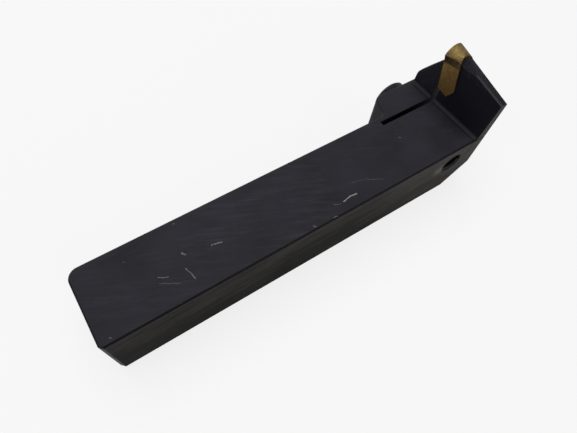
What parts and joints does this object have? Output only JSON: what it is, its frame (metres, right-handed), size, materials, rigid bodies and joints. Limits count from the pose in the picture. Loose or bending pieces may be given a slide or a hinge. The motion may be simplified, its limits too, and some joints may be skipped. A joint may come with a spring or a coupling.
{
  "type": "turning tool holder",
  "caption": "Square-shank turning tool holder with a sawn clamping jaw, a socket cap clamp screw and a gold full-radius insert at the end of a thin upright blade.",
  "frame": {"origin": "centre of the shank's square rear end face", "axes": "+X along the shank towards the cutting head, +Y up on the machine from the base face towards the clamp screw's head, +Z towards the side that the blade and insert stand out of"},
  "size_m": [0.1421, 0.0367, 0.0464],
  "materials": {
    "black_oxide_steel": "satin black oxide on ground and milled steel, worn lighter at the edges",
    "screw_steel": "black oxide on high-tensile steel, slightly oily",
    "gold_coated_carbide": "satin gold nitride coating on ground carbide"
  },
  "bodies": {
    "holder": {"holder_body": "black_oxide_steel", "cutting_insert": "gold_coated_carbide"},
    "screw": {"clamp_screw": "screw_steel"}
  },
  "joints": [
    {"name": "clamp_screw_turn", "type": "hinge", "parent": "holder", "child": "screw", "pos_m": [0.1279, 0.012, 0.0043], "axis": [0, 1, 0], "range_deg": [0, 360]}
  ]
}
